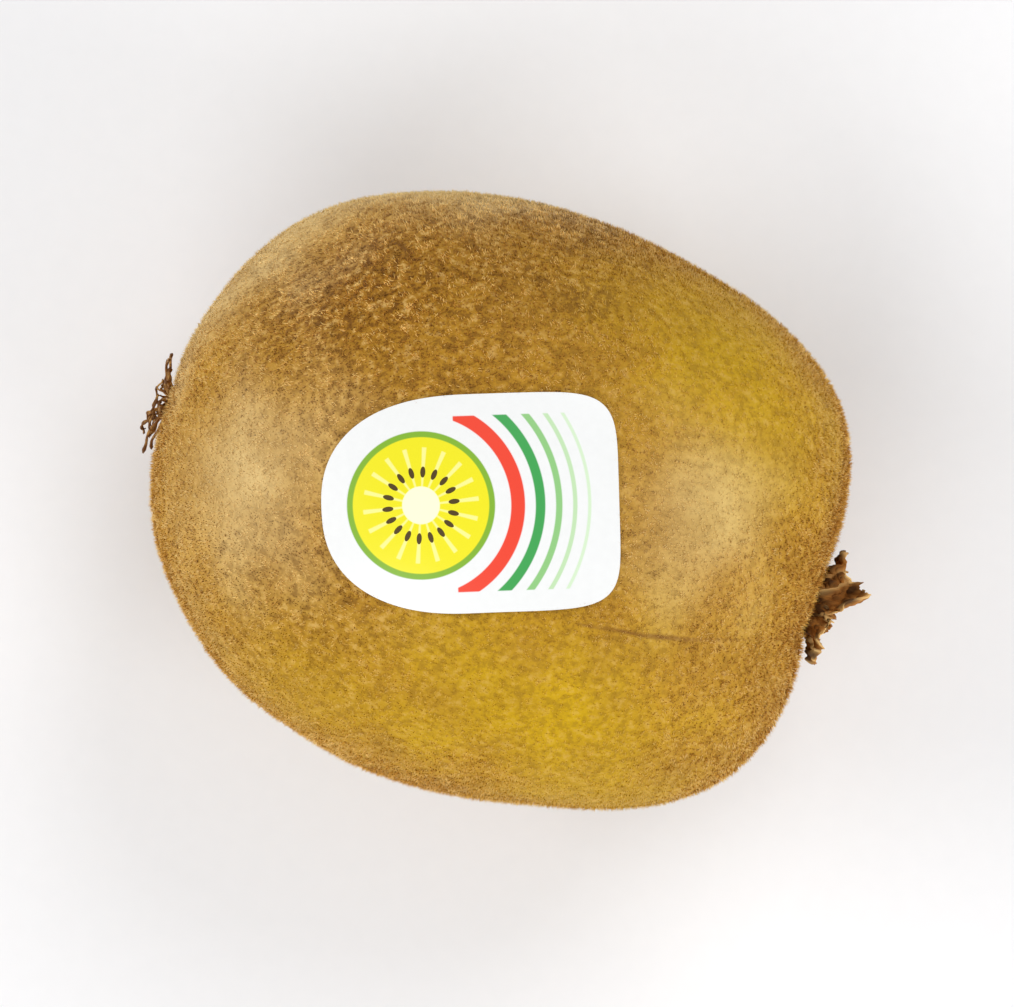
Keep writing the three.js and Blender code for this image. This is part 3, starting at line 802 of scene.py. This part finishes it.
# Dead plant fibre: dull brown with straw-coloured blotches, darker towards its tip
STYLE_BLOTCH = 0.7
STYLE_RELIEF = 0.08
style_material, tree = new_material("dried_style_fibre")
along = add(tree, "Attribute", {}, attribute_name="along").outputs["Fac"]
place = add(tree, "TexCoord", {}).outputs["Object"]
blotch = add(
    tree, "TexNoise", {"Vector": place, "Scale": 1 / (STYLE_BLOTCH * MM), "Detail": 3.0},
).outputs["Fac"]
colour = add(
    tree, "Mix", {0: along, 6: linear("#9c662a"), 7: linear("#5c3612")}, data_type="RGBA",
).outputs[2]
share = add(
    tree, "MapRange", {"Value": blotch, "From Min": 0.46, "From Max": 0.7, "To Max": 0.65},
).outputs[0]
colour = add(tree, "Mix", {0: share, 6: colour, 7: linear("#dcab62")}, data_type="RGBA").outputs[2]
bump = add(tree, "Bump", {"Height": blotch, "Strength": 0.5, "Distance": STYLE_RELIEF * MM}).outputs[0]
surface = add(tree, "BsdfPrincipled", {
    "Base Color": colour, "Normal": bump, "Roughness": 0.6, "IOR": 1.5, "Specular IOR Level": 0.2,
})
add(tree, "OutputMaterial", {"Surface": surface.outputs[0]})

draw = draws(SEED + 1)
parts = []
spacing = 2 * math.pi / STYLES
for k in range(STYLES):
    turn = k * spacing + 0.7 * spacing * next(draw)
    length = lerp(*STYLE_LENGTH, next(draw))
    rise = STYLE_RISE * next(draw)
    sweep = STYLE_SWEEP * (next(draw) - 0.5)
    parts.append(thread(turn, length, rise, sweep, 1, 1))
for turn in rng.uniform(0, 2 * math.pi, FINE_STYLES):
    length, rise, sweep = (rng.uniform(*span) for span in (FINE_LENGTH, FINE_RISE, FINE_SWEEP))
    parts.append(thread(turn, length, rise, sweep, FINE_SCALE, FINE_WOBBLE))
tuft = new_piece("dried_style_tuft", *joined_up(parts), style_material)
mark(tuft, "along", np.concatenate([part[2] for part in parts]))
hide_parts("dried_styles")
button_shape = round_mound(-1, BUTTON_TOP, BUTTON_RINGS, BUTTON_STEPS, BUTTON_ROUGH)
button = new_piece("style_button", *button_shape, cork_material)
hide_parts("dried_styles")

# The label itself: white coated paper 0.1 mm thick, die-cut and printed in plain inks, lying on the
# down that it presses flat. The print is a simple one: a cut kiwifruit with rings that spread from it.
LABEL_THICK = 0.11
LABEL_LIFT = 0.2
LABEL_CELLS = (110, 80)
SLICE_MIDDLE = (-4.6, 0.0)  # on the label, along it towards its square end and across it
SLICE_RADIUS = 6.9
RIND = 0.55
CORE_RADIUS = 1.75
RAY = (1.2, 5.4)  # from the slice's middle
RAY_INK = 0.7
SEEDS = 18
SEED_RING = 3.1
SEED_HALF = (0.24, 0.52)  # half the width and half the length of a seed
ARCS = [  # inner and outer radius round the slice's middle, and ink
    (8.4, 9.7, "#e8432c"), (10.7, 11.6, "#3c9f4f"), (12.6, 13.2, "#8cc47c"), (14.2, 14.6, "#bcdcae"),
    (15.6, 15.9, "#cfe6c4"),
]
ARCS_FROM = 3.2  # the arcs start this far past the slice's middle
PRINT_HALF = 8.2  # and stop this far from the label's long middle line
EDGE = 0.05  # softness of a printed edge
FAR = 99
PAPER_RELIEF = 0.05


def over(x, y):
    """Directions whose skin on the upper side stands over x, y."""
    aim = np.stack([x, y, np.full_like(x, HALF_HEIGHT)], -1)
    # Each round moves the direction by what it still misses
    for _ in range(6):
        p = skin_at(unit(aim))
        aim = np.stack([aim[..., 0] + x - p[..., 0], aim[..., 1] + y - p[..., 1], p[..., 2]], -1)
    return unit(aim)


a, b = np.meshgrid(*[np.linspace(-1, 1, cells + 1) for cells in LABEL_CELLS], indexing="ij")
power = np.where(a < 0, LABEL_ROUND, LABEL_SQUARE)
widest = np.maximum(np.maximum(np.abs(a), np.abs(b)), 1e-9)
inwards = widest / np.maximum((np.abs(a) ** power + np.abs(b) ** power) ** (1 / power), 1e-9)
on_along = a * inwards * LABEL_LENGTH / 2
on_across = b * inwards * LABEL_WIDTH / 2
label_x = LABEL_MIDDLE[0] + on_along * math.cos(LABEL_TURN) - on_across * math.sin(LABEL_TURN)
label_y = LABEL_MIDDLE[1] + on_along * math.sin(LABEL_TURN) + on_across * math.cos(LABEL_TURN)
label_aim = over(label_x, label_y)
flat = np.stack([on_along, on_across, np.zeros_like(a)], -1).reshape(-1, 3)
# It lies a little wavy on the down, and lifts unevenly along its edge
wave = (ripple(flat, 6.0) * 0.05 + ripple(flat + 40, 2.4) * 0.015).reshape(a.shape)
wave += widest**10 * 0.06 * (0.4 + ripple(flat + 80, 5.0).reshape(a.shape))
sheets = [above(label_aim, LABEL_LIFT + wave + thick) for thick in (0, LABEL_THICK)]

paper_material, tree = new_material("coated_label_paper_printed")
place = add(tree, "UVMap", {}, uv_map="print").outputs[0]
# The map is the label's length and width; from here on it is in millimetres from the slice's middle
place = add(
    tree, "VectorMath",
    {0: place, 1: (LABEL_LENGTH, LABEL_WIDTH, 0),
     2: (-LABEL_LENGTH / 2 - SLICE_MIDDLE[0], -LABEL_WIDTH / 2 - SLICE_MIDDLE[1], 0)},
    operation="MULTIPLY_ADD",
).outputs[0]
x, y, _ = add(tree, "SeparateXYZ", {0: place}).outputs
radius = add(tree, "VectorMath", {0: place}, operation="LENGTH").outputs["Value"]
angle = add(tree, "Math", {0: y, 1: x}, operation="ARCTAN2").outputs[0]


def within(value, low, high):
    """1 where the value is between low and high, with the soft edge of a print."""
    rise, fall = (
        add(tree, "MapRange", {"Value": value, "From Min": none, "From Max": full}).outputs[0]
        for none, full in ((low - EDGE, low + EDGE), (high + EDGE, high - EDGE))
    )
    return add(tree, "Math", {0: rise, 1: fall}, operation="MULTIPLY").outputs[0]


sheet = add(tree, "TexNoise", {"Vector": place, "Scale": 1.2, "Detail": 3.0}).outputs["Fac"]
colour = add(
    tree, "Mix", {0: sheet, 6: linear("#e6e7e6"), 7: linear("#ecedec")}, data_type="RGBA",
).outputs[2]
# How far a point is from the middle line of its seed or ray, which share one turn of the slice evenly
aside = add(
    tree, "Math", {0: angle, 1: SEEDS / (2 * math.pi), 2: 0.25}, operation="MULTIPLY_ADD",
).outputs[0]
for operation, inputs in (
    ("FRACT", {}),
    ("SUBTRACT", {1: 0.5}),
    ("MULTIPLY", {1: radius}),
    ("MULTIPLY", {1: 2 * math.pi / SEEDS}),
    ("ABSOLUTE", {}),
):
    aside = add(tree, "Math", {0: aside, **inputs}, operation=operation).outputs[0]
# A ray widens outwards
ray = add(tree, "Math", {0: radius, 1: 0.035, 2: 0.02}, operation="MULTIPLY_ADD").outputs[0]
ray = add(tree, "Math", {0: ray, 1: aside}, operation="SUBTRACT").outputs[0]
ray = within(ray, 0, FAR)
for share in (within(radius, *RAY), RAY_INK):
    ray = add(tree, "Math", {0: ray, 1: share}, operation="MULTIPLY").outputs[0]
# A seed is an oval: the squares of both ways from its middle add up to 1 on its edge
along_seed = add(tree, "Math", {0: radius, 1: SEED_RING}, operation="SUBTRACT").outputs[0]
squared = []
for way, half in zip((aside, along_seed), SEED_HALF):
    way = add(tree, "Math", {0: way, 1: half}, operation="DIVIDE").outputs[0]
    squared.append(add(tree, "Math", {0: way, 1: way}, operation="MULTIPLY").outputs[0])
seed = add(tree, "Math", {0: squared[0], 1: squared[1]}, operation="ADD").outputs[0]
beside_slice = within(x, ARCS_FROM, FAR)
band = add(
    tree, "Math", {0: within(y, -PRINT_HALF, PRINT_HALF), 1: beside_slice}, operation="MULTIPLY",
).outputs[0]
inks = [
    (within(radius, -1, SLICE_RADIUS), "#7fae2e"),
    (within(radius, -1, SLICE_RADIUS - RIND), "#e9e016"),
    (ray, "#f6f2a6"),
    (within(radius, -1, CORE_RADIUS), "#faf6cf"),
    (within(seed, -1, 1), "#4c3a12"),
]
for inner, outer, hex_colour in ARCS:
    arc = add(tree, "Math", {0: within(radius, inner, outer), 1: band}, operation="MULTIPLY").outputs[0]
    inks.append((arc, hex_colour))
for share, hex_colour in inks:
    colour = add(tree, "Mix", {0: share, 6: colour, 7: linear(hex_colour)}, data_type="RGBA").outputs[2]
bump = add(tree, "Bump", {"Height": sheet, "Strength": 0.15, "Distance": PAPER_RELIEF * MM}).outputs[0]
surface = add(tree, "BsdfPrincipled", {
    "Base Color": colour, "Normal": bump, "Roughness": 0.38, "IOR": 1.5,
})
add(tree, "OutputMaterial", {"Surface": surface.outputs[0]})

label = new_piece("paper_label", *slab(*sheets), paper_material)
label.data.set_sharp_from_angle(angle=math.radians(40))
print_at = np.tile(flat[:, :2] / (LABEL_LENGTH, LABEL_WIDTH) + 0.5, (2, 1))
corners = np.empty(len(label.data.loops), int)
label.data.loops.foreach_get("vertex_index", corners)
label.data.uv_layers.new(name="print").data.foreach_set("uv", print_at[corners].ravel())
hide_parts("label")

# Table, light and camera: a plain pale table top and soft studio light from four sides, looked at
# straight down with a long lens. The stem end points right and down in the picture.
FLOOR_REACH = 3.0  # metres
PICTURE_TURN = -17.64  # degrees
LENS = 300
SENSOR = 36
FRAME_LENGTH = 98  # millimetres of table that the picture is wide
TABLE_GRAIN = 2
floor_mesh = bpy.data.meshes.new("table_top")
corners = [(-1, -1, 0), (1, -1, 0), (1, 1, 0), (-1, 1, 0)]
floor_mesh.from_pydata([Vector(c) * FLOOR_REACH for c in corners], [], [(0, 1, 2, 3)])
table_material, tree = new_material("matt_white_laminate")
place = add(tree, "TexCoord", {}).outputs["Object"]
grain = add(tree, "TexNoise", {"Vector": place, "Scale": 1 / (TABLE_GRAIN * MM)}).outputs["Fac"]
colour = add(
    tree, "Mix", {0: grain, 6: linear("#eeeeef"), 7: linear("#f1f1f2")}, data_type="RGBA",
).outputs[2]
surface = add(tree, "BsdfPrincipled", {"Base Color": colour, "Roughness": 0.7})
add(tree, "OutputMaterial", {"Surface": surface.outputs[0]})
floor_mesh.materials.append(table_material)
table_top = bpy.data.objects.new("table_top", floor_mesh)
bpy.context.collection.objects.link(table_top)

world = bpy.data.worlds.new("studio")
world.use_nodes = True
world.node_tree.nodes["Background"].inputs["Color"].default_value = linear("#fbfbfd")
world.node_tree.nodes["Background"].inputs["Strength"].default_value = 0.36
bpy.context.scene.world = world
bpy.context.scene.view_settings.view_transform = "Standard"

# Name, azimuth and elevation in degrees, distance and size in metres and power in watts
SOFT_BOXES = [
    ("soft_box_left", 190, 28, 1.1, 0.7, 5.7),
    ("soft_box_right", -20, 28, 1.1, 0.7, 5.7),
    ("soft_box_front", -100, 45, 1.1, 0.7, 3.7),
    ("soft_box_back", 75, 45, 1.1, 0.7, 4.6),
]
for name, azimuth, elevation, distance, size, power in SOFT_BOXES:
    lamp = bpy.data.lights.new(name, "AREA")
    lamp.shape = "DISK"
    lamp.size = size
    lamp.energy = power
    holder = bpy.data.objects.new(name, lamp)
    turn, up = math.radians(azimuth), math.radians(elevation)
    holder.location = distance * Vector((
        math.cos(turn) * math.cos(up), math.sin(turn) * math.cos(up), math.sin(up),
    ))
    holder.rotation_euler = (-holder.location).to_track_quat("-Z", "Y").to_euler()
    bpy.context.collection.objects.link(holder)

camera = bpy.data.cameras.new("camera")
camera.lens = LENS
camera.sensor_width = SENSOR
camera.clip_start = 0.05
camera.clip_end = 20
eye = bpy.data.objects.new("camera", camera)
middle = (cad_low + cad_high) / 2
eye.location = (middle.x, middle.y, middle.z + FRAME_LENGTH * MM * LENS / SENSOR)
eye.rotation_euler = (0, 0, math.radians(-PICTURE_TURN))
bpy.context.collection.objects.link(eye)
bpy.context.scene.camera = eye
